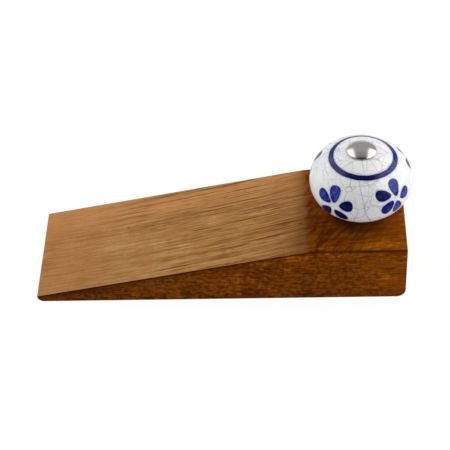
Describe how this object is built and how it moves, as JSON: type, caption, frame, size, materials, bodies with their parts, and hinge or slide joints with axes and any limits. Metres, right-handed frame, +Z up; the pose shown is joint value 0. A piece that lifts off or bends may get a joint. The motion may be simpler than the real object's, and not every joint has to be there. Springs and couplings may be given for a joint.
{
  "type": "door stop",
  "caption": "Wooden door wedge with a round glazed ceramic knob bolted through its heel as a handle.",
  "frame": {"origin": "centre of the wedge's flat underside", "axes": "+X along the wedge from its thin tip to its tall heel, +Z up, so the knob's axis is vertical above the heel and +Y is the far side"},
  "size_m": [0.1478, 0.048, 0.0574],
  "materials": {
    "hardwood": "oiled satin",
    "crackle_glaze": "gloss crackle glaze with cobalt blue painting",
    "polished_metal": "polished",
    "nickel_plate": "plated satin",
    "zinc_steel": "zinc plated",
    "soft_washer": "matt"
  },
  "bodies": {
    "wedge": {"wedge_block": "hardwood", "base_rose": "nickel_plate", "rose_gasket": "soft_washer", "cap_washer": "soft_washer", "dome_cap": "polished_metal", "threaded_stud": "zinc_steel", "flat_washer": "zinc_steel", "spring_washer": "zinc_steel", "hex_nut": "zinc_steel"},
    "knob": {"ceramic_knob": "crackle_glaze"}
  },
  "joints": [
    {"name": "knob_swivel", "type": "hinge", "parent": "wedge", "child": "knob", "pos_m": [0.0553, 0, 0.0408], "axis": [0, 0, 1], "continuous": true}
  ]
}
